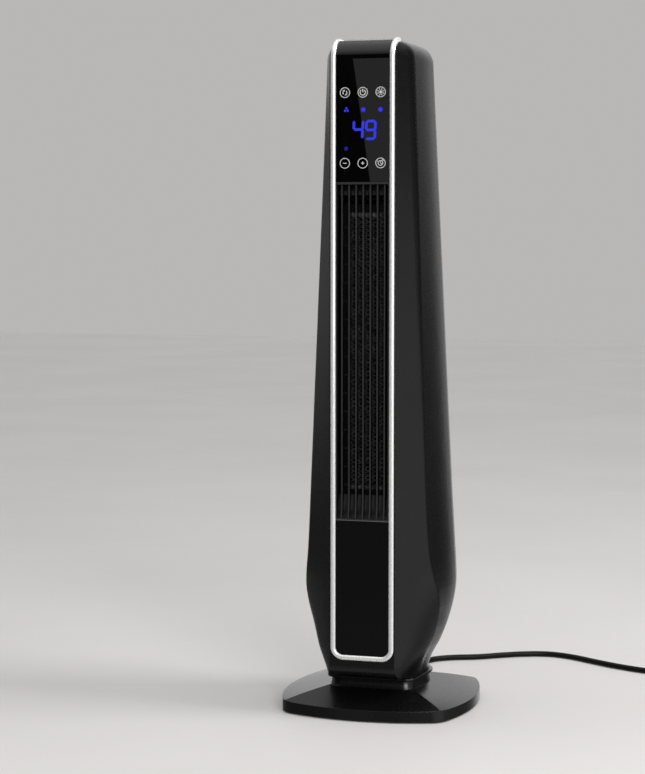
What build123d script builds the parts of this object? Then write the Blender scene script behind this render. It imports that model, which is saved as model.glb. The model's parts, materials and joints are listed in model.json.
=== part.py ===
from build123d import *
import math
import os

# Oscillating ceramic tower heater. Millimetres, +Z up, the front faces -Y, and the origin is the
# centre of the base on the floor, which is also the axis that the tower swings about.

# ---- Driving dimensions -------------------------------------------------------------------------
TOP_Z = 743.0                 # top of the tower's casing; the silver trim stands TRIM_PROUD above it
TRIM_PROUD = 2.0
TOWER_Z = 43.0                # underside of the tower
FRONT_Y = -88.0               # the flat front of the tower
FRONT_HALF = 37.0             # half width of the flat front strip
ROLL = 22.0                   # radius of the casing's top edges
TOE = 14.0                    # radius of its lower front edge
WALL = 2.5                    # casing wall
GAP = 0.2                     # between parts that only lie beside each other
RUN_GAP = 0.4                 # between parts that move past each other

# Tower casing by height: z, half width, its y, crease x and y, crease rounding, front facet's bulge, back y
STATIONS = [
    (43.0, 53.0, -5.0, 51.5, -22.0, 2.0, 6.0, 42.0),
    (57.0, 57.5, -2.0, 56.0, -27.0, 2.0, 11.0, 49.0),
    (73.0, 65.5, 3.0, 63.5, -30.0, 2.0, 13.0, 57.0),
    (95.0, 73.5, 8.0, 71.0, -34.0, 2.0, 10.0, 65.0),
    (118.0, 79.2, 12.0, 75.7, -39.6, 2.0, 6.6, 70.0),
    (138.0, 81.7, 14.5, 76.5, -47.0, 2.0, 3.4, 71.9),
    (157.0, 81.5, 15.0, 73.4, -56.6, 2.0, 1.0, 71.7),
    (180.0, 80.3, 15.0, 70.0, -62.0, 2.0, 0.2, 70.8),
    (250.0, 76.3, 15.0, 66.0, -64.5, 2.0, 0.0, 67.5),
    (721.0, 53.3, 15.0, 48.5, -60.0, 9.0, 0.0, 45.0),
]

# Front panel
TRIM_OUT = 35.7               # half width of the silver trim, outside and inside
TRIM_IN = 30.4
TRIM_BOTTOM = 64.0
TRIM_CORNER = 14.0
ROLL_END_Y = -62.0            # where the trim and the top cap end, on top
GLASS_Z = (589.0, 725.4)
OUTLET_Z = (219.6, 588.6)
PANEL_HALF = TRIM_IN - GAP
SLAT_PITCH = 8.0
SLAT_THICK = 1.7
SLAT_COUNT = 7
GUARD_TOP_Z = 539.5           # highest rib of the finger guard
GUARD_PITCH = 20.2

# Fan and heater
FAN_CENTRE_Y = -8.0
FAN_RADIUS = 29.0
FAN_Z = (250.0, 562.0)
FAN_BLADES = 20
DUCT_Z = (244.0, 570.0)
HEATER_Z = (251.0, 557.0)
HEATER_Y = (-70.0, -58.0)
HEATER_HALF = 20.0
FIN_COLUMNS = 5
FIN_PITCH = 4.8               # one zigzag of the fins
FIN_THICK = 0.5
MOTOR_Z = (196.0, 236.0)

# Swing drive: a pinion in the tower walks round a gear fixed to the base's spindle
GEAR_MODULE = 1.0
GEAR_TEETH = 64
PINION_TEETH = 16
GEAR_CENTRES = (GEAR_TEETH + PINION_TEETH) * GEAR_MODULE / 2
GEAR_Z = (49.0, 54.0)
SPINDLE_R = 12.0
MOTOR_DECK_Z = 60.0           # underside of the swing motor

# Back of the tower
SPLIT_Y = 12.0                # where the front and back halves of the casing meet
INTAKE_HALF = 36.0
INTAKE_Z = (262.0, 550.0)
SLOT_PITCH = 8.5
HOLD_HALF = 34.0
HOLD_Z = (634.0, 684.0)
HOLD_FLOOR_Y = 20.0
SWITCH_Z = 152.0
SWITCH_HALF = (10.0, 7.0)
SWITCH_BACK_Y = 72.0

# Base
BASE_HALF_X = 108.8
BASE_HALF_Y = 107.5
BASE_CORNER = 24.0
BASE_SAG = 23.7               # how far each side of the base bows out beyond its corners
RIM_Z = (1.6, 13.1)
ROOF_CROWN = 40.0             # half width of the roof's flat crown, under the neck
ROOF_Z = 28.5
NECK_Z = 42.0                 # top of the neck
LIP_Z = (36.2, 39.2)          # the collar round the neck, bottom and top
# Neck, bottom to top, each row one height: height, front, half width, back
NECK = [
    (17.0, -60.0, 58.0, 46.0), (24.0, -53.0, 54.5, 42.0),
    (31.0, -50.0, 53.0, 40.5), (NECK_Z, -50.0, 53.0, 40.5),
]
FEET_Z = 1.8
PLUNGER_XY = (40.0, -50.0)

# Mains cord
CORD_R = 3.4
CORD_Z = CORD_R + 0.1
RELIEF_R = 4.9
RELIEF_Z = 7.6
RELIEF_END_Y = 131.0
CORD_ROUTE = [
    (0, RELIEF_END_Y, RELIEF_Z), (0, 160, RELIEF_Z), (-3, 192, CORD_Z), (4, 223, CORD_Z), (27, 242, CORD_Z),
    (57, 252.5, CORD_Z), (83, 272.5, CORD_Z), (110, 289, CORD_Z), (141, 298, CORD_Z),
    (172, 287, CORD_Z), (201, 267, CORD_Z), (231, 248, CORD_Z), (268, 231, CORD_Z),
    (312, 217, CORD_Z), (361.3, 211.2, CORD_Z),
]
COIL_CENTRE = (356.0, 167.5)
COIL_OUT = 48.4
COIL_IN = 24.2
COIL_TOP = 13.9
TAIL_X = COIL_CENTRE[0] + 44.3
PLUG_Z = 11.2
PLUG_Y = (94.0, 126.0)


# ---- Shared shapes ------------------------------------------------------------------------------
def whole(result):
    """A boolean's result as one solid, or as one compound of its solids."""
    solids = result.solids()
    return solids[0] if len(solids) == 1 else Compound(children=list(solids))


def cut(shape, *tools):
    return whole(shape.cut(*tools))


def common(shape, tool):
    return whole(shape.intersect(tool))


def union(shapes):
    first, *rest = shapes
    return whole(first.fuse(*rest)) if rest else first


def group(shapes):
    """Separate solids that share one node."""
    return Compound(children=[solid for shape in shapes for solid in shape.solids()])


def box(x, y, z):
    """A block between two limits along each axis."""
    size = [high - low for low, high in (x, y, z)]
    centre = [(low + high) / 2 for low, high in (x, y, z)]
    return Pos(*centre) * Solid.make_box(*size, Plane((-size[0] / 2, -size[1] / 2, -size[2] / 2)))


def rod(radius, start, end):
    """A round bar between two points."""
    line = Vector(*end) - Vector(*start)
    return Solid.make_cylinder(radius, line.length, Plane(origin=Vector(*start), z_dir=line))


def tube(outer, inner, start, end):
    return cut(rod(outer, start, end), rod(inner, start, end))


def upright(sketch, z):
    """A flat outline carried up from z[0] to z[1]."""
    return whole(extrude(Pos(0, 0, z[0]) * sketch, z[1] - z[0]))


def station_slopes():
    """How fast each measure changes with height at each station. The column above the chin is straight."""
    runs = [[(b - a) / (high[0] - low[0]) for a, b in zip(low[1:], high[1:])]
            for low, high in zip(STATIONS, STATIONS[1:])]
    bends = [[(a + b) / 2 for a, b in zip(*pair)] for pair in zip(runs, runs[1:-1])]
    return [runs[0]] + bends + [runs[-1], runs[-1]]


def station_at(z):
    """The casing's measures at a height, on smooth curves through STATIONS."""
    slopes = station_slopes()
    i = max(i for i, row in enumerate(STATIONS[:-1]) if row[0] <= z or i == 0)
    low, high = STATIONS[i], STATIONS[i + 1]
    run = high[0] - low[0]
    t = (z - low[0]) / run
    rise, start, end = t * t * (3 - 2 * t), t * (1 - t) ** 2 * run, t * t * (t - 1) * run
    measures = zip(low[1:], high[1:], slopes[i], slopes[i + 1])
    return [a + (b - a) * rise + start * m + end * n for a, b, m, n in measures]


def casing_section(z, inset, values):
    """The casing's outline at a height: flat front, front facet, rounded crease, side and round back."""
    half, widest_y, crease_x, crease_y, rounding, bulge, back = values
    front = FRONT_Y + inset
    corner = Vector(FRONT_HALF - 0.4 * inset, front)
    crease = Vector(crease_x - 0.9 * inset, crease_y + 0.4 * inset)
    wide = Vector(half - inset, widest_y)
    rear = Vector(0, back - inset)
    along = crease - corner
    outward = Vector(along.Y, -along.X).normalized()
    rounding = min(rounding, 0.35 * along.length)
    crown = (corner + crease) * 0.5 + outward * bulge
    hip = Vector(crease.X + 0.45 * (wide.X - crease.X), crease.Y + 0.33 * (wide.Y - crease.Y))
    facet_end = crease - (crease - crown).normalized() * rounding
    side_start = crease + (hip - crease).normalized() * rounding
    curves = [
        (corner, crown, facet_end),
        (facet_end, crease, side_start),
        (side_start, hip, Vector(wide.X, wide.Y - 0.35 * (wide.Y - crease.Y)), wide),
        (wide, Vector(wide.X, wide.Y + 0.62 * (rear.Y - wide.Y)), Vector(0.62 * wide.X, rear.Y), rear),
    ]

    def other_side(points):
        return [Vector(-p.X, p.Y) for p in reversed(points)]

    edges = [Edge.make_line(Vector(-corner.X, front), corner)]
    edges += [Edge.make_bezier(*points) for points in curves]
    edges += [Edge.make_bezier(*other_side(points)) for points in reversed(curves)]
    return Pos(0, 0, z) * Face(Wire(edges))


def casing(inset):
    """The whole casing as one solid, its surface moved inwards by inset."""
    heights = [TOWER_Z + inset - 2] + [row[0] for row in STATIONS[1:]]
    stages = []
    for low, high in zip(heights, heights[1:]):
        levels = [low + (high - low) * step / 3 for step in range(4)]
        stages.append(loft([casing_section(z, inset, station_at(z)) for z in levels]))
    stages[0] = common(stages[0], toe_profile(inset))
    shoulder = STATIONS[-1][0]
    radius = ROLL - inset
    top = []
    for degrees in (0, 18, 36, 52, 66, 78, 88):
        a = math.radians(degrees)
        pull = inset + radius * (1 - math.cos(a))
        top.append(casing_section(shoulder + radius * math.sin(a), pull, station_at(shoulder)))
    return union(stages + [loft(top)])


def toe_profile(inset):
    """Everything above the underside and its rounded front edge, up past the lowest stage."""
    front, low = FRONT_Y + inset, TOWER_Z + inset
    centre_y, centre_z = FRONT_Y + TOE, TOWER_Z + TOE
    with BuildSketch(Plane.YZ) as profile:
        with BuildLine():
            Polyline(
                (front, centre_z), (front - 9, centre_z + 9), (120, centre_z + 9),
                (120, low), (centre_y, low),
            )
            CenterArc((centre_y, centre_z), TOE - inset, -90, -90)
        make_face()
    return whole(extrude(profile.sketch, 120, both=True))


def front_profile(inset, back=60.0):
    """Everything behind the front plane and under the rolled top, moved inwards by inset."""
    radius = ROLL - inset
    roll_y = FRONT_Y + ROLL
    roll_z = TOP_Z - ROLL
    with BuildSketch(Plane.YZ) as profile:
        with BuildLine():
            Line((back, 0), (FRONT_Y + inset, 0))
            Line((FRONT_Y + inset, 0), (FRONT_Y + inset, roll_z))
            CenterArc((roll_y, roll_z), radius, 180, -90)
            Line((roll_y, roll_z + radius), (back, roll_z + radius))
            Line((back, roll_z + radius), (back, 0))
        make_face()
    return whole(extrude(profile.sketch, 60, both=True))


def front_layer(outer, inner):
    """A skin that follows the front and rolls over the top, between two insets."""
    return cut(front_profile(outer), front_profile(inner, back=80.0))


def panel_outline(half, low, corner, y=(-95.0, ROLL_END_Y)):
    """The panel's outline seen from the front, with round lower corners and an open top."""
    with BuildSketch(Plane.XZ) as outline:
        with Locations((0, (low + 800) / 2)):
            Rectangle(2 * half, 800 - low)
        if corner:
            fillet(outline.vertices().sort_by(Axis.Y)[:2], corner)
    block = whole(extrude(outline.sketch, 100, both=True))
    return common(block, box((-90, 90), y, (0, 760)))


def skin_behind(outer, inner):
    """A skin that follows the casing all round, between two insets."""
    return cut(casing(outer), casing(inner))


# ---- Base ---------------------------------------------------------------------------------------
def base_outline(inset):
    """A square with round corners whose sides bow outwards."""
    half_x, half_y = BASE_HALF_X - inset, BASE_HALF_Y - inset
    corner_x, corner_y = half_x - BASE_SAG + 5, half_y - BASE_SAG + 5
    corners = [(-corner_x, -corner_y), (corner_x, -corner_y), (corner_x, corner_y), (-corner_x, corner_y)]
    middles = [(0, -half_y), (half_x, 0), (0, half_y), (-half_x, 0)]
    with BuildSketch() as outline:
        with BuildLine():
            for i, middle in enumerate(middles):
                ThreePointArc(corners[i], middle, corners[(i + 1) % 4])
        make_face()
        fillet(outline.vertices(), BASE_CORNER - inset)
    return outline.sketch


def neck_section(z, front, half, back):
    """The neck's outline: a flat front, round front corners, sides that spread backwards, a round back."""
    nose, hip_y = half * 0.88, -4
    with BuildSketch(Plane.XY.offset(z)) as outline:
        with BuildLine():
            Polyline((-half, hip_y), (-nose, front), (nose, front), (half, hip_y))
            Bezier((half, hip_y), (half * 1.1, back), (0, back))
            Bezier((0, back), (-half * 1.1, back), (-half, hip_y))
        make_face()
        fillet(outline.vertices().sort_by(Axis.Y)[:2], 13)
    return outline.sketch.faces()[0]


def neck_lip():
    """The thin collar round the neck, just under the tower, with soft edges."""
    plate = upright(neck_section(0, -56, 56.6, 43.5), LIP_Z)
    rims = plate.edges().group_by(Axis.Z)
    return whole(fillet(list(rims[0]) + list(rims[-1]), 1.1))


def base_solid(inset):
    """Rim, low pyramid and neck, with every surface moved inwards by inset."""
    outline = base_outline(inset)
    rim = upright(outline, (RIM_Z[0] - (1 if inset else 0), RIM_Z[1] - inset))
    along_y = roof_wedge(BASE_HALF_Y - inset, BASE_HALF_X, inset)
    along_x = roof_wedge(BASE_HALF_X - inset, BASE_HALF_Y, inset).rotate(Axis.Z, 90)
    roof = common(common(along_y, along_x), upright(outline, (0, 60)))
    neck = [neck_section(z - inset, front + inset, half - inset, back - inset)
            for z, front, half, back in NECK]
    return union([rim, roof, loft(neck)])


def roof_wedge(reach, across, inset):
    """Two opposite facets of the roof, from the bowed rim up to the crown."""
    low, high = RIM_Z[1] - inset, ROOF_Z - inset
    crown = ROOF_CROWN - inset
    end = reach - BASE_SAG
    with BuildSketch(Plane.XY.offset(low)) as foot:
        with BuildLine():
            ThreePointArc((-across, -end), (0, -reach), (across, -end))
            Line((across, -end), (across, end))
            ThreePointArc((across, end), (0, reach), (-across, end))
            Line((-across, end), (-across, -end))
        make_face()
    top = Pos(0, 0, high) * Rectangle(2 * across, 2 * crown)
    return whole(loft([foot.sketch.faces()[0], top.faces()[0]], ruled=True))


def make_base_cover():
    outside = union([base_solid(0), neck_lip()])
    shell = cut(outside, base_solid(WALL), rod(SPINDLE_R + 2, (0, 0, 36), (0, 0, 50)))
    posts = [rod(5, (x, y, FEET_Z + 4.2), (x, y, 16)) for x, y in screw_places()]
    relief_hole = rod(RELIEF_R, (0, 90, RELIEF_Z), (0, 120, RELIEF_Z))
    holes = [rod(1.3, (x, y, 4), (x, y, 14)) for x, y in screw_places()]
    return cut(union([shell] + posts), relief_hole, *holes)


def screw_places():
    return [(x, y) for x in (-71.5, 71.5) for y in (-71.5, 71.5)]


def make_base_plate():
    plate = upright(base_outline(WALL + GAP), (FEET_Z, FEET_Z + 2.2))
    holes = [rod(1.8, (x, y, 0), (x, y, 5)) for x, y in screw_places()]
    plunger_hole = rod(4.3, (*PLUNGER_XY, 0), (*PLUNGER_XY, 10))
    return cut(plate, plunger_hole, box((-7, 7), (96, 120), (0, 10)), *holes)


def make_base_screws():
    return group(
        union([rod(3, (x, y, 0.9), (x, y, FEET_Z)), rod(1.25, (x, y, FEET_Z), (x, y, 12))])
        for x, y in screw_places()
    )


def make_base_weight():
    z = FEET_Z + 2.2
    slab = box((-66, 66), (-60, 84), (z, z + 6))
    return cut(
        slab,
        box((-22, 22), (-22, 22), (0, 30)),
        box((-7, 7), (0, 90), (0, 30)),
        box((30, 50), (-62, -38), (0, 30)),
    )


def make_base_feet():
    """Round pads near the corners, and a small oblong one in the middle of each side."""
    corners = [rod(7, (x, y, 0), (x, y, FEET_Z)) for x in (-79, 79) for y in (-79, 79)]
    middles = [box((-7, 7), (y - 4, y + 4), (0, FEET_Z)) for y in (-98, 90)]
    middles += [box((x - 4, x + 4), (-7, 7), (0, FEET_Z)) for x in (-98, 98)]
    return group(corners + middles)


def make_swivel_spindle():
    """The hollow post that the tower turns on, with its flange under the neck's top."""
    flange = tube(22, 6, (0, 0, NECK_Z - WALL - 3), (0, 0, NECK_Z - WALL))
    post = tube(SPINDLE_R, 6, (0, 0, NECK_Z - WALL - 3), (0, 0, GEAR_Z[1] + 3))
    return union([flange, post])


def make_swivel_washer():
    return tube(34, SPINDLE_R + 2, (0, 0, NECK_Z), (0, 0, TOWER_Z))


def gear_outline(teeth, turned=0.0):
    """A spur gear's outline: involute flanks, 20 degree pressure angle, thinned for backlash."""
    pitch_r = teeth * GEAR_MODULE / 2
    base_r = pitch_r * math.cos(math.radians(20))
    tip_r = pitch_r + 0.9 * GEAR_MODULE
    root_r = pitch_r - 1.2 * GEAR_MODULE

    def involute(radius):
        angle = math.acos(min(1.0, base_r / radius))
        return math.tan(angle) - angle

    half_tooth = 0.44 * math.pi / teeth
    at_pitch = involute(pitch_r)
    start_r = max(base_r, root_r)
    flank_radii = [start_r + (tip_r - start_r) * i / 3 for i in range(4)]
    points = []
    for i in range(teeth):
        middle = 2 * math.pi * i / teeth + turned
        rising = [(r, middle - half_tooth - at_pitch + involute(r)) for r in flank_radii]
        falling = [(r, 2 * middle - a) for r, a in reversed(rising)]
        foot = rising[0][1]
        tooth = [(root_r, foot)] + rising + falling + [(root_r, 2 * middle - foot)]
        if start_r == root_r:
            tooth = rising + falling
        points += [(r * math.cos(a), r * math.sin(a)) for r, a in tooth]
    return make_face(Polyline(*points, close=True))


def make_swing_gear():
    """The gear fixed to the spindle."""
    return cut(upright(gear_outline(GEAR_TEETH), GEAR_Z), rod(SPINDLE_R, (0, 0, 40), (0, 0, 70)))


def make_spindle_nut():
    hexagon = upright(RegularPolygon(17, 6), (GEAR_Z[1], GEAR_Z[1] + 3))
    return cut(hexagon, rod(SPINDLE_R, (0, 0, 40), (0, 0, 70)))


def make_swivel_lead():
    """The mains lead from the base's strain relief up through the hollow spindle."""
    start = (0, BASE_HALF_Y - 6, RELIEF_Z)
    path = FilletPolyline(start, (0, 50, 8.2), (0, 0, 9.5), (0, 0, 62), radius=8)
    return sweep(Plane(origin=path @ 0, z_dir=path % 0) * Circle(2.6), path)


def make_tip_switch():
    x, y = PLUNGER_XY
    z = FEET_Z + 2.2
    case = box((x - 8, x + 8), (y - 10, y + 10), (z, 17))
    return cut(case, rod(4.3, (x, y, 0), (x, y, 14.5)))


def make_tip_plunger():
    x, y = PLUNGER_XY
    stem = rod(3.9, (x, y, 0.4), (x, y, 10))
    tip = Pos(x, y, 0.4) * Solid.make_cone(2.6, 3.9, 0.4, Plane((0, 0, -0.4)))
    return union([stem, tip])


# ---- Mains cord ---------------------------------------------------------------------------------
def route_radii():
    """One arc for each bend, as large as its two runs allow."""
    points = [Vector(*p) for p in CORD_ROUTE]
    radii = []
    for a, b, c in zip(points, points[1:], points[2:]):
        turn = (b - a).get_angle(c - b)
        run = min((b - a).length, (c - b).length)
        radii.append(0.45 * run / math.tan(math.radians(turn / 2)))
        print("bend at", tuple(round(v) for v in b), "turn", round(turn), "radius", round(radii[-1]))
    return radii


def make_mains_cord():
    path = FilletPolyline(*CORD_ROUTE, radius=route_radii())
    cord = sweep(Plane(origin=path @ 0, z_dir=path % 0) * Circle(CORD_R), path)
    expected = math.pi * CORD_R**2 * path.length
    print("cord length", round(path.length), "volume", round(cord.volume))
    print("section x length", round(expected))
    return whole(cord)


def make_strain_relief():
    """A tapered sleeve with a flange inside the base's rim."""
    y = BASE_HALF_Y
    start = Plane((0, y, RELIEF_Z), z_dir=(0, 1, 0))
    sleeve = Solid.make_cone(RELIEF_R, CORD_R + 0.9, RELIEF_END_Y - y, start)
    neck = rod(RELIEF_R, (0, y - 6, RELIEF_Z), (0, y, RELIEF_Z))
    return union([sleeve, neck])


def make_cord_coil():
    """The put-away length: three turns side by side with two more lying on them."""
    with BuildSketch(Plane.XZ) as section:
        with BuildLine():
            Polyline(
                (COIL_IN, 0.1), (COIL_OUT, 0.1), (COIL_OUT, 6.9), (COIL_OUT - 3.4, COIL_TOP),
                (COIL_IN + 3.4, COIL_TOP), (COIL_IN, 6.9), close=True,
            )
        make_face()
    return Pos(*COIL_CENTRE, 0) * whole(revolve(section.sketch, Axis.Z))


def make_cord_tie():
    """A band over the coil, opposite the plug."""
    x, y = COIL_CENTRE
    band = box((x - COIL_OUT - 1.2, x - COIL_IN + 1.2), (y - 5, y + 5), (0.1, COIL_TOP + 1.2))
    inside = box((x - COIL_OUT - 0.1, x - COIL_IN + 0.1), (y - 6, y + 6), (0, COIL_TOP + 0.1))
    return cut(band, inside, make_cord_coil())


def make_cord_tail():
    start_y = COIL_CENTRE[1] - math.sqrt((COIL_OUT - 1.6) ** 2 - (TAIL_X - COIL_CENTRE[0]) ** 2)
    return rod(CORD_R, (TAIL_X, start_y, 9.5), (TAIL_X, PLUG_Y[1] + 12, PLUG_Z))


def make_plug_body():
    """A moulded three-pin plug with a tapered cable sleeve."""
    y0, y1 = PLUG_Y
    body = box((TAIL_X - 14, TAIL_X + 14), (y0, y1), (0.2, 2 * PLUG_Z - 0.2))
    body = whole(chamfer(body.edges().group_by(Axis.Y)[-1], 6))
    body = whole(fillet(body.edges().filter_by(Axis.Y), 3))
    sleeve = Solid.make_cone(7, CORD_R + 1, 12, Plane((TAIL_X, y1, PLUG_Z), z_dir=(0, 1, 0)))
    return union([body, sleeve])


def make_plug_pins():
    """Three flat blades: two slanted line blades above one upright earth blade."""
    y = (PLUG_Y[0] - 17, PLUG_Y[0])
    blade = box((-0.8, 0.8), y, (-3.2, 3.2))
    places = [(-6.9, 4.0, 30), (6.9, 4.0, -30), (0, -5.4, 0)]
    return group(
        Pos(TAIL_X + x, 0, PLUG_Z + z) * Rot(0, tilt, 0) * blade for x, z, tilt in places
    )


# ---- Casing -------------------------------------------------------------------------------------
def rear_screw_places():
    return [(side * x, z) for z, x in ((112, 40), (330, 42), (585, 36), (705, 30)) for side in (-1, 1)]


def floor_outline(inset):
    """The casing's outline just above the tower's floor, stopped short of the rounded toe."""
    outline = casing_section(0, inset, station_at(TOWER_Z + WALL))
    return outline & Pos(0, 60) * Rectangle(200, 2 * (60 - FRONT_Y - TOE))


def casing_shell():
    """The hollow casing, with the front opened for the panel and the underside for its floor."""
    panel = panel_outline(TRIM_OUT + GAP, TRIM_BOTTOM - GAP, TRIM_CORNER)
    underside = upright(floor_outline(WALL), (TOWER_Z - 1, TOWER_Z + WALL + 0.5))
    return cut(casing(0), casing(WALL), panel, underside)


def make_front_shell():
    ahead = box((-100, 100), (-100, SPLIT_Y), (0, 800))
    return common(casing_shell(), ahead)


def make_rear_shell():
    """The back half, with the air intake, the hand hold, the switch hole and screw bosses."""
    behind = box((-100, 100), (SPLIT_Y, 100), (0, 800))
    shell = common(casing_shell(), behind)
    inside = common(casing(WALL), behind)
    bosses, holes = [], []
    for x, z in rear_screw_places():
        bosses.append(common(rod(5.5, (x, SPLIT_Y + 4, z), (x, 100, z)), inside))
        holes.append(rod(3.7, (x, SPLIT_Y + 10, z), (x, 100, z)))
        holes.append(rod(1.7, (x, SPLIT_Y, z), (x, 100, z)))
    shell = union([shell] + bosses)
    intake = box((-INTAKE_HALF, INTAKE_HALF), (SPLIT_Y + 1, 100), INTAKE_Z)
    hold = box((-HOLD_HALF, HOLD_HALF), (SPLIT_Y + 1, 100), HOLD_Z)
    x, z = SWITCH_HALF
    switch = box((-x, x), (SPLIT_Y + 1, 100), (SWITCH_Z - z, SWITCH_Z + z))
    return cut(shell, intake, hold, switch, *holes)


def make_rear_screws():
    screws = []
    for x, z in rear_screw_places():
        y = SPLIT_Y + 10
        screws.append(union([rod(3.4, (x, y, z), (x, y + 2.4, z)), rod(1.6, (x, y - 8, z), (x, y, z))]))
    return group(screws)


def make_hand_hold():
    """A cup let into the back, for carrying the heater."""
    half, (low, high) = HOLD_HALF, HOLD_Z
    outside = box((GAP - half, half - GAP), (HOLD_FLOOR_Y, 100), (low + GAP, high - GAP))
    inner = box((2 - half, half - 2), (HOLD_FLOOR_Y + 2, 110), (low + 2, high - 2))
    return common(cut(outside, inner), casing(0))


def make_intake_cover():
    """The grille over the air intake, with horizontal slots in three columns."""
    half = INTAKE_HALF - RUN_GAP
    low, high = INTAKE_Z[0] + RUN_GAP, INTAKE_Z[1] - RUN_GAP
    plate = common(skin_behind(0.0, WALL), box((-half, half), (SPLIT_Y + 5, 100), (low, high)))
    count = int((high - low - 12) // SLOT_PITCH)
    with BuildSketch(Plane.XZ) as slots:
        for column in (-1, 0, 1):
            for i in range(count):
                z = low + 10 + SLOT_PITCH * (i + 0.25)
                with Locations((column * 22.5, z)):
                    SlotOverall(20, 4.4)
    return cut(plate, extrude(slots.sketch, 100, both=True))


def make_dust_filter():
    """A flat mesh frame carried behind the intake grille."""
    half = INTAKE_HALF - 2
    limits = box((-half, half), (SPLIT_Y + 4, 100), (INTAKE_Z[0] + 3, INTAKE_Z[1] - 3))
    slab = common(skin_behind(WALL + GAP, WALL + 2.5), limits)
    windows = []
    height = (INTAKE_Z[1] - INTAKE_Z[0] - 6) / 4
    for column in (-1, 1):
        for i in range(4):
            low = INTAKE_Z[0] + 3 + height * i
            x = (2, half - 3) if column > 0 else (3 - half, -2)
            windows.append(box(x, (0, 100), (low + 3, low + height - 3)))
    return cut(slab, *windows)


def make_tower_floor():
    """The plate that closes the tower's underside and turns on the spindle."""
    plate = upright(floor_outline(WALL + GAP), (TOWER_Z, TOWER_Z + WALL))
    collar = tube(SPINDLE_R + 3, SPINDLE_R + 0.06, (0, 0, TOWER_Z), (0, 0, GEAR_Z[0] - RUN_GAP))
    return union([cut(plate, rod(SPINDLE_R + 0.06, (0, 0, 40), (0, 0, 60))), collar])


# ---- Front panel --------------------------------------------------------------------------------
def make_silver_trim():
    """A half-round strip round the panel that rolls back over the top and closes behind the cap."""
    x = (TRIM_OUT + TRIM_IN) / 2
    low = TRIM_BOTTOM + (TRIM_OUT - TRIM_IN) / 2
    bend = TRIM_CORNER - (TRIM_OUT - TRIM_IN) / 2
    roll_z = TOP_Z - ROLL
    roll_y = FRONT_Y + ROLL
    k = math.sqrt(0.5)

    def half_path(side):
        rolled = ThreePointArc(
            (side * x, roll_y, TOP_Z),
            (side * x, roll_y - ROLL * k, roll_z + ROLL * k),
            (side * x, FRONT_Y, roll_z),
        )
        corner = ThreePointArc(
            (side * x, FRONT_Y, low + bend),
            (side * (x - bend + bend * k), FRONT_Y, low + bend - bend * k),
            (side * (x - bend), FRONT_Y, low),
        )
        top = Line((side * x, ROLL_END_Y, TOP_Z), (side * x, roll_y, TOP_Z))
        leg = Line((side * x, FRONT_Y, roll_z), (side * x, FRONT_Y, low + bend))
        foot = Line((side * (x - bend), FRONT_Y, low), (0, FRONT_Y, low))
        return Wire([top.edges()[0], rolled.edges()[0], leg.edges()[0], corner.edges()[0], foot.edges()[0]])

    half_width = (TRIM_OUT - TRIM_IN) / 2
    halves = []
    for side in (1, -1):
        path = half_path(side)
        with BuildSketch(Plane((side * x, ROLL_END_Y, TOP_Z), x_dir=(1, 0, 0), z_dir=(0, -1, 0))) as section:
            with BuildLine():
                Line((-half_width, -3), (half_width, -3))
                Line((half_width, -3), (half_width, 0.6))
                ThreePointArc((half_width, 0.6), (0, TRIM_PROUD), (-half_width, 0.6))
                Line((-half_width, 0.6), (-half_width, -3))
            make_face()
        halves.append(whole(sweep(section.sketch, path)))
    bar = box((-TRIM_OUT, TRIM_OUT), (ROLL_END_Y - 3, ROLL_END_Y), (TOP_Z - 3, TOP_Z + 1.2))
    return union(halves + [bar])


def panel_piece(z, outer=0.6, inner=3.0, corner=0.0):
    """A stretch of the panel between two heights, as a skin that follows the front."""
    outline = panel_outline(PANEL_HALF, z[0], corner, y=(-95.0, ROLL_END_Y - 3 - GAP))
    return common(common(outline, front_layer(outer, inner)), box((-50, 50), (-95, 0), z))


def make_top_cap():
    return panel_piece((GLASS_Z[1] + GAP, TOP_Z + 5))


def make_control_glass():
    return panel_piece(GLASS_Z)


def make_lower_panel():
    """The gloss panel under the outlet, with its top edge rounded."""
    low = TRIM_BOTTOM + TRIM_OUT - TRIM_IN + GAP
    panel = panel_piece((low, OUTLET_Z[0] - GAP), corner=TRIM_CORNER - TRIM_OUT + TRIM_IN)
    brow = panel.edges().filter_by(Axis.X).group_by(Axis.Z)[-1].sort_by(Axis.Y)[:1]
    return panel.fillet(0.9, brow)


def make_front_frame():
    """The carrier behind the trim, with a window for the display and one for the outlet."""
    outline = panel_outline(TRIM_OUT, TRIM_BOTTOM, TRIM_CORNER, y=(-95.0, ROLL_END_Y - 6))
    frame = common(outline, front_layer(3.0 + GAP / 2, 6.0))
    display = box((-26, 26), (-95, -60), (GLASS_Z[0] + 5, GLASS_Z[1] - 9))
    outlet = box((-PANEL_HALF - GAP, PANEL_HALF + GAP), (-95, -60), (OUTLET_Z[0] - GAP, OUTLET_Z[1] + GAP))
    lower = box((-24, 24), (-95, -60), (96, 190))
    return cut(frame, display, outlet, lower)


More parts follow.
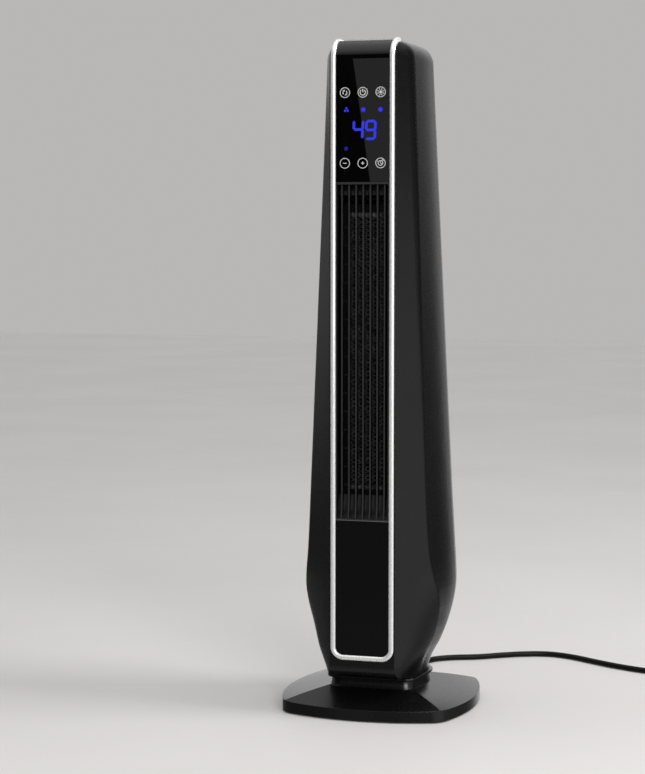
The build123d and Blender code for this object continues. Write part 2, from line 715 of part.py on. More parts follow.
def make_outlet_grille():
    """A frame with upright slats, a hollow-curved head and a sill that the slats' feet sweep onto."""
    low, high = OUTLET_Z
    front = FRONT_Y + 0.6
    back = FRONT_Y + 11.0
    half = PANEL_HALF
    rails = [box((side * half - 1.4 * (side > 0), side * half + 1.4 * (side < 0)), (front, back), OUTLET_Z)
             for side in (-1, 1)]
    with BuildSketch(Plane.YZ) as head:
        with BuildLine():
            Polyline((front, high - 2.4), (front, high), (back, high), (back, high - 14))
            Bezier((back, high - 14), (back - 1.5, high - 3), (front, high - 2.4))
        make_face()
    with BuildSketch(Plane.YZ) as sill:
        with BuildLine():
            Line((front, low), (back, low))
            Line((back, low), (back, low + 27))
            Bezier((back, low + 27), (FRONT_Y + 7, low + 6), (front, low + 1.4))
            Line((front, low + 1.4), (front, low))
        make_face()
    with BuildSketch(Plane.YZ) as slat:
        with BuildLine():
            Line((FRONT_Y + 3.4, high - 1), (back, high - 1))
            Line((back, high - 1), (back, low + 1))
            Line((back, low + 1), (front + 0.4, low + 1))
            Bezier((front + 0.4, low + 1), (FRONT_Y + 2.6, low + 10), (FRONT_Y + 3.4, low + 30))
            Line((FRONT_Y + 3.4, low + 30), (FRONT_Y + 3.4, high - 1))
        make_face()
    ends = [whole(extrude(profile.sketch, half, both=True)) for profile in (sill, head)]
    blade = extrude(slat.sketch, SLAT_THICK / 2, both=True)
    middle = (SLAT_COUNT - 1) / 2
    blades = [Pos((i - middle) * SLAT_PITCH, 0, 0) * whole(blade) for i in range(SLAT_COUNT)]
    return union(rails + ends + blades)


def make_finger_guard():
    """Thin ribs across the outlet, behind the slats, on two uprights that the end slats hide."""
    low, high = OUTLET_Z[0] + 22, OUTLET_Z[1] - 8
    y = FRONT_Y + 11.2
    reach = (SLAT_COUNT - 1) / 2 * SLAT_PITCH + 2
    bars = [box((side * (reach - 0.8) - 0.8, side * (reach - 0.8) + 0.8), (y, y + 1.6), (low, high))
            for side in (-1, 1)]
    ends = [box((-PANEL_HALF + 1, PANEL_HALF - 1), (y, y + 1.6), (z - 2, z + 2)) for z in (low, high)]
    count = int((GUARD_TOP_Z - low) / GUARD_PITCH)
    levels = [GUARD_TOP_Z - i * GUARD_PITCH for i in range(count + 1)]
    ribs = [box((-reach, reach), (y, y + 1.6), (z, z + 0.9)) for z in levels]
    return union(bars + ends + ribs)


# ---- Controls -----------------------------------------------------------------------------------
def key_places():
    return [(x, z) for z in (685.0, 609.0) for x in (-20.0, 0.0, 20.0)]


def make_control_board():
    return box((-25.5, 25.5), (-79.6, -78), (GLASS_Z[0] + 6, GLASS_Z[1] - 12))


def make_led_display():
    return box((-15, 15), (-84.4, -79.6), (629, 660))


def make_touch_springs():
    return group(rod(4, (x, -79.6, z), (x, -85, z)) for x, z in key_places())


# ---- Heater, fan and duct -----------------------------------------------------------------------
def fin_cells(x):
    """The triangular openings between one column's zigzag fin and the bars beside it."""
    low, high = HEATER_Z
    half_width = SLAT_PITCH / 2 - 0.9
    count = int((high - low - 4) / FIN_PITCH)
    start = (low + high - count * FIN_PITCH) / 2
    reach = FIN_PITCH / 2 - FIN_THICK * 0.6
    cells = []
    for i in range(2 * count - 1):
        side = 1 if i % 2 else -1
        z = start + FIN_PITCH * (i + 1) / 2
        points = [(x + side * half_width, z - reach), (x + side * half_width, z + reach),
                  (x - side * (half_width - 1.2), z)]
        cells.append(Wire.make_polygon([Vector(px, HEATER_Y[0], pz) for px, pz in points]))
    return cells


def make_ptc_element():
    """Ceramic heating bars with a zigzag metal fin between each two."""
    low, high = HEATER_Z
    corners = [(-HEATER_HALF, low), (HEATER_HALF, low), (HEATER_HALF, high), (-HEATER_HALF, high)]
    outline = Wire.make_polygon([Vector(x, HEATER_Y[0], z) for x, z in corners])
    middle = (FIN_COLUMNS - 1) / 2
    cells = [cell for i in range(FIN_COLUMNS) for cell in fin_cells((i - middle) * SLAT_PITCH)]
    return Solid.extrude(Face(outline, cells), Vector(0, HEATER_Y[1] - HEATER_Y[0], 0))


def make_heater_frame():
    outside = box((-30, 30), (HEATER_Y[0] - 3, HEATER_Y[1] + 3), (HEATER_Z[0] - 8, HEATER_Z[1] + 8))
    side = HEATER_HALF + GAP
    pocket = box((-side, side), HEATER_Y, (HEATER_Z[0] - GAP, HEATER_Z[1] + GAP))
    window = box((0.6 - HEATER_HALF, HEATER_HALF - 0.6), (-100, 0), (HEATER_Z[0] + 1, HEATER_Z[1] - 1))
    return cut(outside, pocket, window)


def make_thermal_cutouts():
    """A resetting cut-out and a one-shot thermal fuse, clipped behind the heater."""
    y = HEATER_Y[1] + 3
    disc = rod(6, (27 - 7.5, y, HEATER_Z[1] + 2), (27 - 7.5, y + 5, HEATER_Z[1] + 2))
    fuse = rod(2, (-26, y + 2, HEATER_Z[1] + 2), (-14, y + 2, HEATER_Z[1] + 2))
    return group([disc, fuse])


def make_fan_wheel():
    """A cross-flow wheel: curved blades between discs."""
    low, high = FAN_Z
    centre = (0, FAN_CENTRE_Y)
    blades = []
    for i in range(FAN_BLADES):
        a = 2 * math.pi * i / FAN_BLADES

        def at(radius, lead):
            return (centre[0] + radius * math.cos(a + lead), centre[1] + radius * math.sin(a + lead))

        with BuildSketch() as blade:
            with BuildLine():
                ThreePointArc(at(21.5, 0.0), at(26, 0.05), at(FAN_RADIUS - 0.3, 0.24))
                Line(at(FAN_RADIUS - 0.3, 0.24), at(FAN_RADIUS, 0.21))
                ThreePointArc(at(FAN_RADIUS, 0.21), at(26.3, 0.01), at(21.5, -0.05))
                Line(at(21.5, -0.05), at(21.5, 0.0))
            make_face()
        blades.append(upright(blade.sketch, (low + 1, high - 1)))
    discs = []
    count = 4
    for i in range(count + 1):
        z = low + (high - low - 2) * i / count
        disc = rod(FAN_RADIUS, (*centre, z), (*centre, z + 2))
        hole = 2.5 if i in (0, count) else 21
        discs.append(cut(disc, rod(hole, (*centre, z - 1), (*centre, z + 3))))
    return union(discs + blades)


def make_fan_shaft():
    """Two stub shafts: the motor's below and the bush's above."""
    y = FAN_CENTRE_Y
    lower = rod(2.5, (0, y, MOTOR_Z[0] + 4), (0, y, FAN_Z[0] + 2))
    upper = rod(2.5, (0, y, FAN_Z[1] - 2), (0, y, DUCT_Z[1] + 7))
    return group([lower, upper])


def make_fan_motor():
    y = FAN_CENTRE_Y
    can = rod(26, (0, y, MOTOR_Z[0]), (0, y, MOTOR_Z[1]))
    boss = rod(8, (0, y, MOTOR_Z[1]), (0, y, MOTOR_Z[1] + 3))
    bore = rod(2.56, (0, y, MOTOR_Z[0] + 3), (0, y, MOTOR_Z[1] + 5))
    return cut(union([can, boss]), bore)


def make_motor_mounts():
    """Rubber grommets between the motor and the duct's lower end plate."""
    places = [(20 * math.cos(a), FAN_CENTRE_Y + 20 * math.sin(a)) for a in (0.5, 2.6, 4.7)]
    return group(tube(3.5, 1.6, (x, y, MOTOR_Z[1]), (x, y, DUCT_Z[0] - 2)) for x, y in places)


def make_top_bush():
    y = FAN_CENTRE_Y
    return tube(8, 2.56, (0, y, DUCT_Z[1] + 2), (0, y, DUCT_Z[1] + 7))


def make_duct_ends():
    """The plates that close the duct above and below the fan."""
    y = FAN_CENTRE_Y
    plates = []
    for z in ((DUCT_Z[0] - 2, DUCT_Z[0]), (DUCT_Z[1], DUCT_Z[1] + 2)):
        plate = box((-40, 40), (-54.6, 30), z)
        plates.append(cut(plate, rod(9, (0, y, z[0] - 1), (0, y, z[1] + 1))))
    return group(plates)


def duct_wall(points, thick=1.6):
    """A bent wall of even thickness along a chain of points, between the end plates."""
    path = Polyline(*points)
    return upright(make_face(offset(path, thick / 2)), DUCT_Z)


def make_scroll_wall():
    """The wall that wraps round the back of the fan and leads the air to the heater."""
    arc = []
    for degrees in range(100, 211, 10):
        a = math.radians(degrees)
        radius = FAN_RADIUS + 2.6 + 0.04 * (210 - degrees)
        arc.append((radius * math.cos(a), FAN_CENTRE_Y + radius * math.sin(a)))
    return duct_wall(arc + [(-31, -54)])


def make_tongue_wall():
    """The short wall on the other side, which splits the flow beside the fan."""
    y = FAN_CENTRE_Y
    return duct_wall([(31, -54), (36, -34), (33, y - 8), (36, y + 6)])


# ---- Power and swing drive ----------------------------------------------------------------------
def make_power_board():
    return box((-32, 32), (-68, -66.4), (92, 184))


def make_board_parts():
    """Relays, a capacitor and the mains terminal block on the power board."""
    y = -66.4
    relays = [box((x - 9, x + 9), (y, y + 15), (150, 168)) for x in (-18, 6)]
    capacitor = rod(7, (24, y, 130), (24, y + 12, 130))
    terminals = box((-26, 10), (y, y + 12), (100, 114))
    return group(relays + [capacitor, terminals])


def make_board_bracket():
    """The upright plate that holds the power board, standing on the tower's floor."""
    back = box((-34, 34), (-72, -70), (84, 190))
    pads = [box((x - 3, x + 3), (-70, -68), (z - 3, z + 3)) for x in (-28, 28) for z in (96, 180)]
    legs = [box((x - 3, x + 3), (-72, -66), (TOWER_Z + WALL, 84)) for x in (-30, 30)]
    return union([back] + pads + legs)


def make_swing_bracket():
    """The bridge over the gear that the swing motor stands on."""
    y = -GEAR_CENTRES
    deck = box((-28, 28), (y - 12, -20), (MOTOR_DECK_Z - 2, MOTOR_DECK_Z))
    legs = [rod(3, (x, y, TOWER_Z + WALL), (x, y, MOTOR_DECK_Z - 2)) for x in (-24, 24)]
    return cut(union([deck] + legs), rod(4, (0, y, 50), (0, y, 70)))


def make_swing_motor():
    """A flat geared motor whose output shaft points down at the gear."""
    y = -GEAR_CENTRES
    can = rod(20, (0, y, MOTOR_DECK_Z), (0, y, MOTOR_DECK_Z + 17))
    return cut(can, rod(2.06, (0, y, MOTOR_DECK_Z - 1), (0, y, MOTOR_DECK_Z + 10)))


def make_swing_pinion():
    """The pinion, turned so that one of its gaps faces a tooth of the gear."""
    toward_gear = math.pi / 2
    turned = toward_gear + math.pi / PINION_TEETH
    pinion = Pos(0, -GEAR_CENTRES, 0) * upright(gear_outline(PINION_TEETH, turned), GEAR_Z)
    return cut(pinion, rod(2, (0, -GEAR_CENTRES, 40), (0, -GEAR_CENTRES, 70)))


def make_swing_shaft():
    return rod(2, (0, -GEAR_CENTRES, GEAR_Z[0]), (0, -GEAR_CENTRES, MOTOR_DECK_Z + 9))


def make_tower_lead():
    """The lead that carries on from the spindle up to the power board."""
    path = FilletPolyline((0, 0, 64), (0, 0, 107), (0, -54.4, 107), radius=14)
    return whole(sweep(Plane(origin=path @ 0, z_dir=path % 0) * Circle(2.6), path))


# ---- Rear switch --------------------------------------------------------------------------------
def make_switch_housing():
    """A snap-in switch body whose flange lies on the back of the casing."""
    x, z = SWITCH_HALF
    back = SWITCH_BACK_Y
    body = box((GAP - x, x - GAP), (back - 18, back + 0.4), (SWITCH_Z - z + GAP, SWITCH_Z + z - GAP))
    flange = box((-x - 2, x + 2), (back + 0.4, back + 1.8), (SWITCH_Z - z - 2, SWITCH_Z + z + 2))
    well = box((-x + 1.6, x - 1.6), (back - 6, back + 3), (SWITCH_Z - z + 1.4, SWITCH_Z + z - 1.4))
    y = back - 1.2
    pins = [rod(0.75, (s * (x - 1.6), y, SWITCH_Z), (s * (x - 0.9), y, SWITCH_Z)) for s in (-1, 1)]
    return cut(union([body, flange]), well, *pins)


def make_rocker():
    """The rocker, a shallow V in profile, on a pin across the housing."""
    x, z = SWITCH_HALF[0] - 1.6 - RUN_GAP, SWITCH_HALF[1] - 1.4 - RUN_GAP
    back = SWITCH_BACK_Y
    with BuildSketch(Plane.YZ) as profile:
        with BuildLine():
            Polyline(
                (back - 3.4, SWITCH_Z - z + 1.0), (back + 1.6, SWITCH_Z - z + 0.4), (back + 1.0, SWITCH_Z),
                (back + 3.0, SWITCH_Z + z - 0.5), (back - 3.4, SWITCH_Z + z - 1.0), close=True,
            )
        make_face()
    body = whole(extrude(profile.sketch, x, both=True))
    end = SWITCH_HALF[0] - 1.0
    pin = rod(0.7, (-end, back - 1.2, SWITCH_Z), (end, back - 1.2, SWITCH_Z))
    return union([body, pin])


MAKERS = {
    "base_cover": make_base_cover,
    "base_plate": make_base_plate,
    "base_weight": make_base_weight,
    "base_feet": make_base_feet,
    "base_screws": make_base_screws,
    "swivel_spindle": make_swivel_spindle,
    "swivel_washer": make_swivel_washer,
    "swing_gear": make_swing_gear,
    "spindle_nut": make_spindle_nut,
    "swivel_lead": make_swivel_lead,
    "tip_switch": make_tip_switch,
    "tip_plunger": make_tip_plunger,
    "strain_relief": make_strain_relief,
    "mains_cord": make_mains_cord,
    "cord_coil": make_cord_coil,
    "cord_tie": make_cord_tie,
    "cord_tail": make_cord_tail,
    "plug_body": make_plug_body,
    "plug_pins": make_plug_pins,
    "front_shell": make_front_shell,
    "rear_shell": make_rear_shell,
    "tower_floor": make_tower_floor,
    "rear_screws": make_rear_screws,
    "hand_hold": make_hand_hold,
    "intake_cover": make_intake_cover,
    "dust_filter": make_dust_filter,
    "switch_housing": make_switch_housing,
    "rocker": make_rocker,
    "silver_trim": make_silver_trim,
    "top_cap": make_top_cap,
    "control_glass": make_control_glass,
    "lower_panel": make_lower_panel,
    "front_frame": make_front_frame,
    "outlet_grille": make_outlet_grille,
    "finger_guard": make_finger_guard,
    "control_board": make_control_board,
    "led_display": make_led_display,
    "touch_springs": make_touch_springs,
    "ptc_element": make_ptc_element,
    "heater_frame": make_heater_frame,
    "thermal_cutouts": make_thermal_cutouts,
    "fan_wheel": make_fan_wheel,
    "fan_shaft": make_fan_shaft,
    "fan_motor": make_fan_motor,
    "motor_mounts": make_motor_mounts,
    "top_bush": make_top_bush,
    "duct_ends": make_duct_ends,
    "scroll_wall": make_scroll_wall,
    "tongue_wall": make_tongue_wall,
    "power_board": make_power_board,
    "board_parts": make_board_parts,
    "board_bracket": make_board_bracket,
    "swing_bracket": make_swing_bracket,
    "swing_motor": make_swing_motor,
    "swing_pinion": make_swing_pinion,
    "swing_shaft": make_swing_shaft,
    "tower_lead": make_tower_lead,
}

os.makedirs("parts", exist_ok=True)
for name, make in MAKERS.items():
    export_step(make(), f"parts/{name}.step")
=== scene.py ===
import json
import math

import bmesh
import bpy
from mathutils import Matrix, Quaternion, Vector


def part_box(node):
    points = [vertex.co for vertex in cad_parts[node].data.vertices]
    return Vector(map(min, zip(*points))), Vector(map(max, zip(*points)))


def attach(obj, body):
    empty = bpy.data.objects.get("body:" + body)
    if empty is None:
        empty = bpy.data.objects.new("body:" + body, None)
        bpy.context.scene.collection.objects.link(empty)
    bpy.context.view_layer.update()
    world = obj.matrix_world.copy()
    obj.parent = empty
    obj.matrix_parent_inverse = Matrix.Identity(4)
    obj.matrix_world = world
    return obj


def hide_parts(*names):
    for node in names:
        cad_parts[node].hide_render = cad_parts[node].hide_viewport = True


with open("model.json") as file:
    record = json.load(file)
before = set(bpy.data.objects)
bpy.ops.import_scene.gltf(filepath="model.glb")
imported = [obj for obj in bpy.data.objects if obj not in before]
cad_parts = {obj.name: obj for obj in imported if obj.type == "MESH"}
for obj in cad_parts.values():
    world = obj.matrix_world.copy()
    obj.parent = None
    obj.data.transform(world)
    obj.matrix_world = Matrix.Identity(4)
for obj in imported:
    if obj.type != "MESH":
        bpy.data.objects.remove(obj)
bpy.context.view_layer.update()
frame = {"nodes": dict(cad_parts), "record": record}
nodes = frame["nodes"]

MM = 0.001


# ---- Camera -------------------------------------------------------------------------------------
AZIMUTH, ELEVATION = math.radians(16.51), math.radians(4.25)
DISTANCE = 2.30216
AIM_SIDE, AIM_HEIGHT = -0.06826, 0.36    # what it points at: metres to the right of the origin, and up
LENS, SENSOR = 94.64, 36.0

back = Vector((
    math.sin(AZIMUTH) * math.cos(ELEVATION),
    -math.cos(AZIMUTH) * math.cos(ELEVATION),
    math.sin(ELEVATION),
))
right = Vector((math.cos(AZIMUTH), math.sin(AZIMUTH), 0))
camera_data = bpy.data.cameras.new("camera")
camera_data.lens, camera_data.sensor_width = LENS, SENSOR
camera = bpy.data.objects.new("camera", camera_data)
bpy.context.collection.objects.link(camera)
camera.location = right * AIM_SIDE + Vector((0, 0, AIM_HEIGHT)) + back * DISTANCE
camera.rotation_mode = "QUATERNION"
camera.rotation_quaternion = (-back).to_track_quat("-Z", "Y")
bpy.context.scene.camera = camera


# ---- Materials ----------------------------------------------------------------------------------
NOISE_RANGE = (0.3, 0.7)       # where nearly all of a noise texture's values lie
RAMP_RANGE = (0.35, 0.65)
BUMP_DEPTH = 0.1 * MM


def new_material(name):
    material = bpy.data.materials.new(name)
    material.use_nodes = True
    return material, material.node_tree, material.node_tree.nodes["Principled BSDF"]


def noise(tree, scale, detail=3.0, stretch=(1, 1, 1)):
    """Noise over the object's own coordinates, with scale in cycles per metre."""
    place = tree.nodes.new("ShaderNodeTexCoord")
    mapping = tree.nodes.new("ShaderNodeMapping")
    mapping.inputs["Scale"].default_value = stretch
    texture = tree.nodes.new("ShaderNodeTexNoise")
    texture.inputs["Scale"].default_value = scale
    texture.inputs["Detail"].default_value = detail
    tree.links.new(place.outputs["Object"], mapping.inputs["Vector"])
    tree.links.new(mapping.outputs["Vector"], texture.inputs["Vector"])
    return texture.outputs["Fac"]


def spread(tree, value, low, high):
    """Noise carried to a range."""
    scale = tree.nodes.new("ShaderNodeMapRange")
    scale.inputs["From Min"].default_value, scale.inputs["From Max"].default_value = NOISE_RANGE
    scale.inputs["To Min"].default_value, scale.inputs["To Max"].default_value = low, high
    tree.links.new(value, scale.inputs["Value"])
    return scale.outputs["Result"]


def paint_facing_light(tree, colour, axis, start, full, painted_tone):
    """Painted light: the colour, changed to a lighter painted tone as the normal's share along an axis
    goes from start to full, so that faces turned one way look lit.
    """
    geometry = tree.nodes.new("ShaderNodeTexCoord")
    parts = tree.nodes.new("ShaderNodeSeparateXYZ")
    facing = tree.nodes.new("ShaderNodeMapRange")
    facing.inputs["From Min"].default_value, facing.inputs["From Max"].default_value = start, full
    mix = tree.nodes.new("ShaderNodeMix")
    mix.data_type = "RGBA"
    tree.links.new(geometry.outputs["Normal"], parts.inputs["Vector"])
    tree.links.new(parts.outputs[axis], facing.inputs["Value"])
    tree.links.new(facing.outputs["Result"], mix.inputs["Factor"])
    tree.links.new(colour, mix.inputs["A"])
    mix.inputs["B"].default_value = (*painted_tone, 1)
    return mix.outputs["Result"]


def surface(name, dark, light, rough, metallic=0.0, grain=900.0, bump=0.03, mottle=9.0,
            stretch=(1, 1, 1), edge=0.0, shine=0.5, facing_light=None):
    """A moulded, painted or metal surface: mottled colour, with roughness and bumps from a fine grain.

    edge is the radius its edges are shaded as rounded to, and the last argument, passed after the
    colour to the painted-light-by-facing step, is painted light: faces turned along its axis get a
    lighter painted tone.
    """
    material, tree, shader = new_material(name)
    patches = noise(tree, mottle, 4.0, stretch)
    ramp = tree.nodes.new("ShaderNodeValToRGB")
    ramp.color_ramp.elements[0].position, ramp.color_ramp.elements[1].position = RAMP_RANGE
    ramp.color_ramp.elements[0].color = (*dark, 1)
    ramp.color_ramp.elements[1].color = (*light, 1)
    tree.links.new(patches, ramp.inputs["Fac"])
    colour = ramp.outputs["Color"]
    if facing_light:
        colour = paint_facing_light(tree, colour, *facing_light)
    tree.links.new(colour, shader.inputs["Base Color"])
    fine = noise(tree, grain, 2.0, stretch)
    tree.links.new(spread(tree, fine, *rough), shader.inputs["Roughness"])
    relief = tree.nodes.new("ShaderNodeBump")
    relief.inputs["Strength"].default_value = bump
    relief.inputs["Distance"].default_value = BUMP_DEPTH
    tree.links.new(fine, relief.inputs["Height"])
    if edge:
        rounding = tree.nodes.new("ShaderNodeBevel")
        rounding.samples = 4
        rounding.inputs["Radius"].default_value = edge
        tree.links.new(rounding.outputs["Normal"], relief.inputs["Normal"])
    tree.links.new(relief.outputs["Normal"], shader.inputs["Normal"])
    shader.inputs["Metallic"].default_value = metallic
    shader.inputs["Specular IOR Level"].default_value = shine
    return material


def glow(name, colour, strength):
    """A lit display segment, its glow varying a little at random."""
    material, tree, shader = new_material(name)
    ramp = tree.nodes.new("ShaderNodeValToRGB")
    ramp.color_ramp.elements[0].color = (*[c * 0.7 for c in colour], 1)
    ramp.color_ramp.elements[1].color = (*colour, 1)
    tree.links.new(noise(tree, 300.0), ramp.inputs["Fac"])
    tree.links.new(ramp.outputs["Color"], shader.inputs["Emission Color"])
    shader.inputs["Base Color"].default_value = (*[c * 0.1 for c in colour], 1)
    shader.inputs["Emission Strength"].default_value = strength
    shader.inputs["Roughness"].default_value = 0.2
    return material


def grey(value, blue=0.0):
    return (value, value, value + blue)


SLOTS = {
    "satin_black": surface("satin_black", grey(0.0024), grey(0.0032, 0.0002), (0.25, 0.31),
                           bump=0.02, edge=0.8 * MM),
    "matt_black": surface("matt_black", grey(0.005), grey(0.007), (0.34, 0.42),
                          bump=0.05, edge=0.4 * MM),
    "gloss_black": surface("gloss_black", grey(0.0012), grey(0.0016), (0.07, 0.10),
                           bump=0.004, edge=0.4 * MM, shine=0.40),
    "panel_glass": surface("panel_glass", grey(0.0005), grey(0.0008), (0.006, 0.010), bump=0.0005),
    "bright_silver": surface("bright_silver", grey(0.90), grey(0.95), (0.24, 0.30), metallic=0.5,
                             grain=1500.0, bump=0.003, stretch=(1, 1, 0.05)),
    "steel": surface("steel", grey(0.42), grey(0.55), (0.25, 0.4), metallic=1.0, stretch=(1, 1, 0.1)),
    "ballast_iron": surface("ballast_iron", grey(0.09), grey(0.16), (0.6, 0.8), metallic=0.8,
                            grain=400.0, bump=0.3),
    "foot_rubber": surface("foot_rubber", grey(0.012), grey(0.018), (0.75, 0.9), bump=0.1),
    "gear_nylon": surface("gear_nylon", (0.62, 0.60, 0.54), (0.70, 0.69, 0.63), (0.4, 0.5)),
    "cord_pvc": surface("cord_pvc", grey(0.004), grey(0.006), (0.36, 0.46),
                        grain=700.0, bump=0.06, shine=0.15),
    "pin_brass": surface("pin_brass", (0.62, 0.46, 0.22), (0.74, 0.58, 0.30), (0.2, 0.3), metallic=1.0),
    "board_green": surface("board_green", (0.02, 0.12, 0.05), (0.03, 0.17, 0.07), (0.3, 0.4)),
    "display_blue": surface("display_blue", (0.01, 0.012, 0.05), (0.012, 0.015, 0.08), (0.2, 0.3)),
    "ptc_metal": surface("ptc_metal", grey(0.10), grey(0.42), (0.3, 0.45), metallic=1.0, mottle=160.0),
    "duct_plastic": surface("duct_plastic", grey(0.01), grey(0.015), (0.5, 0.6)),
    "motor_steel": surface("motor_steel", grey(0.30), grey(0.38), (0.3, 0.45), metallic=1.0,
                           stretch=(1, 1, 0.2)),
}
# Painted light: the slats' front faces are painted paler than their sides, as if lit from the front,
# and the lower panel's top edge gets a painted highlight
SLAT_BLACK = surface("slat_black", grey(0.0016), grey(0.0024), (0.30, 0.38), shine=0.15,
                     facing_light=("Y", -0.90, -0.99, grey(0.028)))
# Painted highlight: the lower panel's upward-facing faces, along its rounded top edge, are painted
# lighter as if catching light from above
PANEL_GLOSS = surface("panel_gloss", grey(0.0012), grey(0.0016), (0.07, 0.10), bump=0.004, shine=0.40,
                      facing_light=("Z", 0.30, 0.70, grey(0.24)))
DEEP_BLACK = surface("deep_black", grey(0.0010), grey(0.0018), (0.55, 0.65), shine=0.2)
PRINT = surface("key_print", grey(0.52), grey(0.60), (0.45, 0.55))
LIT = glow("lit_segments", (0.030, 0.040, 0.80), 1.0)
DIM = glow("dim_segment", (0.04, 0.02, 0.55), 0.3)

for part in frame["record"]["subparts"]:
    for slot in nodes[part["node"]].material_slots:
        slot.material = SLOTS[part["material_slot"]]
# The slats and finger guard carry the painted front light, and the lower panel carries the painted
# highlight on its top edge
for node, material in (
    ("outlet_grille", SLAT_BLACK), ("finger_guard", SLAT_BLACK),
    ("heater_frame", DEEP_BLACK), ("lower_panel", PANEL_GLOSS),
):
    for slot in nodes[node].material_slots:
        slot.material = material


# ---- Building pieces ----------------------------------------------------------------------------
def piece(name, mesh_or_curve, material, body, slot_name=None, replaces=()):
    """Links a piece, gives it its material and body, and hides the parts it replaces."""
    obj = bpy.data.objects.new(name, mesh_or_curve)
    bpy.context.collection.objects.link(obj)
    obj.data.materials.append(material)
    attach(obj, body)
    if replaces:
        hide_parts(*replaces)
    return obj


# ---- Mains cord ---------------------------------------------------------------------------------
CORD_RADIUS = 3.4 * MM
CORD_Z = 3.5                   # millimetres from here on, like every point of the route
EXIT = (0, 131, 7.6)
ROUTE = [
    EXIT, (0, 160, 7.6), (-3, 192, CORD_Z), (4, 223, CORD_Z), (27, 242, CORD_Z),
    (57, 252.5, CORD_Z), (83, 272.5, CORD_Z), (110, 289, CORD_Z), (141, 298, CORD_Z),
    (172, 287, CORD_Z), (201, 267, CORD_Z), (231, 248, CORD_Z), (268, 231, CORD_Z),
    (312, 217, CORD_Z),
]
COIL_CENTRE = (356, 167.5)
COIL_STEP = 22.5               # degrees between the coil's points
COIL_ENTRY = 83.0              # where on the coil the cord comes in, going clockwise
COIL_TURN = 1883.0             # degrees from there to where it leaves
# How the coil's radius and height change along its turning: spiral in, climb, spiral out on top
COIL_STAGES = [(0, 45.0, 3.5), (900, 27.8, 3.5), (1020, 27.6, 10.5), (1883, 44.3, 10.5)]


def coil_points():
    """The coil's control points, a little outside it, since the curve touches their polygon's sides."""
    grow = 1 / math.cos(math.radians(COIL_STEP / 2))
    points = []
    for i in range(1, int(COIL_TURN / COIL_STEP) + 1):
        turned = i * COIL_STEP
        for (a, r0, z0), (b, r1, z1) in zip(COIL_STAGES, COIL_STAGES[1:]):
            if a <= turned <= b:
                t = (turned - a) / (b - a)
                radius, z = (r0 + (r1 - r0) * t) * grow, z0 + (z1 - z0) * t
        angle = math.radians(COIL_ENTRY - turned)
        x = COIL_CENTRE[0] + radius * math.cos(angle)
        y = COIL_CENTRE[1] + radius * math.sin(angle)
        points.append((x, y, z))
    return points


plug_low, plug_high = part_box("plug_body")
plug_x = (plug_low.x + plug_high.x) / 2 / MM
plug_z = (plug_low.z + plug_high.z) / 2 / MM
sleeve_y = plug_high.y / MM
TAIL = [
    (plug_x + 2, sleeve_y + 16, 10.8), (plug_x, sleeve_y + 6, plug_z), (plug_x, sleeve_y - 6, plug_z),
]

cord_curve = bpy.data.curves.new("mains_cord", "CURVE")
cord_curve.dimensions = "3D"
cord_points = ROUTE + coil_points() + TAIL
spline = cord_curve.splines.new("NURBS")
spline.points.add(len(cord_points) - 1)
for point, spot in zip(spline.points, cord_points):
    point.co = (*(Vector(spot) * MM), 1)
spline.order_u = 3
spline.use_endpoint_u = True
spline.resolution_u = 10
cord_curve.bevel_depth = CORD_RADIUS
cord_curve.bevel_resolution = 6
cord_curve.use_fill_caps = True
cord = piece("mains_lead", cord_curve, SLOTS["cord_pvc"], "base", "cord_pvc",
             ("mains_cord", "cord_coil", "cord_tail"))


def lathe(name, profile, material, body, along, segments=40, **extra):
    """A turned piece: profile is (distance along the axis, radius), and the axis is +Y before along."""
    mesh = bmesh.new()
    rings = []
    for y, radius in profile:
        rings.append([
            mesh.verts.new(along @ Vector((radius * math.cos(turn), y, radius * math.sin(turn))))
            for turn in (2 * math.pi * i / segments for i in range(segments))
        ])
    for one, two in zip(rings, rings[1:]):
        for i in range(segments):
            j = (i + 1) % segments
            mesh.faces.new((one[i], two[i], two[j], one[j]))
    mesh.faces.new(rings[0])
    mesh.faces.new(list(reversed(rings[-1])))
    bmesh.ops.recalc_face_normals(mesh, faces=mesh.faces)
    data = bpy.data.meshes.new(name)
    mesh.to_mesh(data)
    mesh.free()
    data.polygons.foreach_set("use_smooth", [True] * len(data.polygons))
    return piece(name, data, material, body, **extra)


# The strain relief is a plain sleeve inside the base and a tapering row of ribs outside it
RELIEF_RIBS = 7
RELIEF_RADIUS = 4.9 * MM
RELIEF_TAPER = 0.6 * MM        # how much thinner the ribs become
GROOVE_DEPTH, GROOVE_RADIUS = 0.55 * MM, 4.1 * MM
BASE_REAR_Y = 107.5 * MM
relief_low, relief_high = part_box("strain_relief")
relief_axis = Matrix.Translation((0, 0, (relief_low.z + relief_high.z) / 2))
tip_y = relief_high.y
profile = [(relief_low.y, RELIEF_RADIUS), (BASE_REAR_Y + 0.4 * MM, RELIEF_RADIUS)]
rib_run = (tip_y - BASE_REAR_Y - 1.6 * MM) / RELIEF_RIBS
for i in range(RELIEF_RIBS):
    y = BASE_REAR_Y + 0.8 * MM + i * rib_run
    ridge = RELIEF_RADIUS - RELIEF_TAPER * i / RELIEF_RIBS
    groove = max(ridge - GROOVE_DEPTH, GROOVE_RADIUS)
    profile += [
        (y, groove), (y + 0.2 * rib_run, ridge),
        (y + 0.65 * rib_run, ridge), (y + 0.8 * rib_run, groove),
    ]
profile += [(tip_y - 0.4 * MM, 4.2 * MM), (tip_y, 3.9 * MM)]
lathe("strain_relief_sleeve", profile, SLOTS["cord_pvc"], "base", relief_axis,
      slot_name="cord_pvc", replaces=("strain_relief",))


# ---- Touch panel artwork ------------------------------------------------------------------------
PRINT_DEPTH = 0.05 * MM
GLASS_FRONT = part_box("control_glass")[0].y


